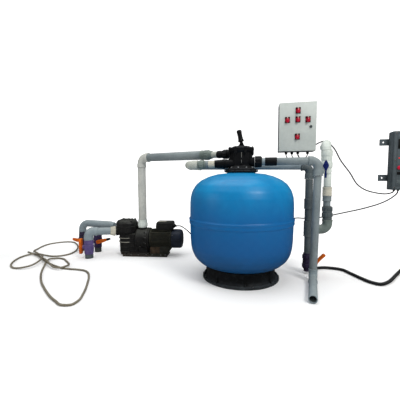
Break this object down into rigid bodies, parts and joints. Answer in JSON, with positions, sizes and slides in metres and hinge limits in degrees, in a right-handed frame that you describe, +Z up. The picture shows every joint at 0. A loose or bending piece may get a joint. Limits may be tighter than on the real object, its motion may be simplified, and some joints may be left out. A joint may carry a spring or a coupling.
{
  "type": "salt chlorinated pool filter plant",
  "caption": "Pool water-treatment plant: sand filter with multiport valve, pump, valved suction manifold, return and waste pipes, switch cabinet and chlorinator power unit.",
  "frame": {"origin": "filter tank axis at floor level", "axes": "+Z up, +X along the wall from the pump towards the power unit, +Y towards the wall behind the plant"},
  "size_m": [3.8472, 1.4548, 1.391],
  "materials": {
    "tank_blue": "glossy gel coat",
    "black_plastic": "moulded, dusty",
    "grey_pvc": "satin pipe",
    "white_pvc": "satin",
    "purple_pvc": "satin",
    "orange_plastic": "satin",
    "blue_plastic": "satin",
    "motor_metal": "greasy paint on cast fins",
    "fan_plastic": "moulded",
    "cabinet_paint": "powder coat",
    "red_plastic": "satin",
    "lock_metal": "worn",
    "unit_paint": "hammered paint",
    "display": "clear window over a dark display",
    "cable_rubber": "matt",
    "clear_hose": "translucent, dusty"
  },
  "bodies": {
    "plant": {"tank_shell": "tank_blue", "tank_base": "black_plastic", "neck_clamp": "black_plastic", "valve_body": "black_plastic", "valve_lid": "black_plastic", "pump_line_port_tail": "black_plastic", "pump_line_union": "grey_pvc", "pump_line_pipe": "grey_pvc", "pump_riser": "grey_pvc", "return_port_tail": "black_plastic", "return_front_union": "grey_pvc", "return_left_bend": "grey_pvc", "return_run_pipe": "grey_pvc", "return_drop_elbow": "grey_pvc", "return_drop_pipe": "grey_pvc", "return_tee": "grey_pvc", "drain_valve_body": "purple_pvc", "riser_foot": "grey_pvc", "riser_pipe": "white_pvc", "riser_valve_body": "white_pvc", "riser_outlet": "grey_pvc", "waste_port_tail": "black_plastic", "waste_pipe": "grey_pvc", "waste_drop_pipe": "grey_pvc", "waste_outlet_pipe": "grey_pvc", "pump_body": "black_plastic", "pump_union": "white_pvc", "pump_motor": "motor_metal", "pump_terminal_box": "black_plastic", "pump_fan_cover": "black_plastic", "suction_front_pipe": "grey_pvc", "suction_front_valve": "purple_pvc", "suction_rear_pipe": "grey_pvc", "suction_side_valve": "purple_pvc", "suction_rear_valve": "purple_pvc", "cabinet_box": "cabinet_paint", "power_unit_case": "unit_paint", "power_unit_cover": "unit_paint", "power_unit_display": "display", "cabinet_cable": "cable_rubber", "pump_cable": "cable_rubber", "drain_hose": "cable_rubber", "floor_hose": "clear_hose"},
    "valve_hub": {"valve_hub": "black_plastic"},
    "valve_lever": {"valve_lever": "black_plastic"},
    "drain_lever": {"drain_valve_lever": "orange_plastic"},
    "riser_lever": {"riser_valve_lever": "blue_plastic"},
    "suction_front_lever": {"suction_front_lever": "orange_plastic"},
    "suction_side_lever": {"suction_side_lever": "orange_plastic"},
    "suction_rear_lever": {"suction_rear_lever": "orange_plastic"},
    "door": {"cabinet_door": "cabinet_paint"},
    "switch_1": {"cabinet_switch_1": "red_plastic"},
    "switch_2": {"cabinet_switch_2": "red_plastic"},
    "switch_3": {"cabinet_switch_3": "red_plastic"},
    "switch_4": {"cabinet_switch_4": "red_plastic"},
    "switch_5": {"cabinet_switch_5": "red_plastic"},
    "lock": {"cabinet_lock": "lock_metal"},
    "button": {"power_button": "red_plastic"},
    "pump_lid": {"pump_lid": "black_plastic"},
    "pump_rotor": {"pump_fan": "fan_plastic"}
  },
  "joints": [
    {"name": "valve_turn", "type": "hinge", "parent": "plant", "child": "valve_hub", "pos_m": [0, 0, 1], "axis": [0, 0, 1], "continuous": true},
    {"name": "valve_lever_tilt", "type": "hinge", "parent": "valve_hub", "child": "valve_lever", "pos_m": [0.002, 0, 0.986], "axis": [0, 1, 0], "range_deg": [-45, 20]},
    {"name": "drain_valve_turn", "type": "hinge", "parent": "plant", "child": "drain_lever", "pos_m": [0.555, 0.15, 0.1], "axis": [1, 0, 0], "range_deg": [0, 90]},
    {"name": "riser_valve_turn", "type": "hinge", "parent": "plant", "child": "riser_lever", "pos_m": [0.604, 0.1017, 0.834], "axis": [-0.2599, -0.9656, 0], "range_deg": [0, 90]},
    {"name": "suction_front_turn", "type": "hinge", "parent": "plant", "child": "suction_front_lever", "pos_m": [-1.465, 0.195, 0.104], "axis": [-0.9842, -0.1772, 0], "range_deg": [0, 90]},
    {"name": "suction_side_turn", "type": "hinge", "parent": "plant", "child": "suction_side_lever", "pos_m": [-1.432, 0.3885, 0.112], "axis": [0.5111, -0.8595, 0], "range_deg": [0, 90]},
    {"name": "suction_rear_turn", "type": "hinge", "parent": "plant", "child": "suction_rear_lever", "pos_m": [-1.654, 0.392, 0.12], "axis": [-0.2425, -0.9701, 0], "range_deg": [0, 90]},
    {"name": "door_swing", "type": "hinge", "parent": "plant", "child": "door", "pos_m": [0.297, 0.5198, 1.182], "axis": [0, 0, 1], "range_deg": [-110, 0]},
    {"name": "switch_1_turn", "type": "hinge", "parent": "door", "child": "switch_1", "pos_m": [0.453, 0.5, 1.318], "axis": [0, -1, 0], "range_deg": [0, 90]},
    {"name": "switch_2_turn", "type": "hinge", "parent": "door", "child": "switch_2", "pos_m": [0.366, 0.5, 1.241], "axis": [0, -1, 0], "range_deg": [0, 90]},
    {"name": "switch_3_turn", "type": "hinge", "parent": "door", "child": "switch_3", "pos_m": [0.453, 0.5, 1.242], "axis": [0, -1, 0], "range_deg": [0, 90]},
    {"name": "switch_4_turn", "type": "hinge", "parent": "door", "child": "switch_4", "pos_m": [0.536, 0.5, 1.239], "axis": [0, -1, 0], "range_deg": [0, 90]},
    {"name": "switch_5_turn", "type": "hinge", "parent": "door", "child": "switch_5", "pos_m": [0.451, 0.5, 1.095], "axis": [0, -1, 0], "range_deg": [0, 90]},
    {"name": "lock_turn", "type": "hinge", "parent": "door", "child": "lock", "pos_m": [0.561, 0.5, 1.179], "axis": [0, -1, 0], "range_deg": [0, 90]},
    {"name": "button_press", "type": "slide", "parent": "plant", "child": "button", "axis": [0, 1, 0], "range_m": [0, 0.004]},
    {"name": "pump_lid_turn", "type": "hinge", "parent": "plant", "child": "pump_lid", "pos_m": [-1.116, 0.396, 0.32], "axis": [0, 0, 1], "range_deg": [0, 45]},
    {"name": "pump_rotor_spin", "type": "hinge", "parent": "plant", "child": "pump_rotor", "pos_m": [-1.116, 0.396, 0.164], "axis": [0.9925, 0.1219, 0], "continuous": true}
  ]
}
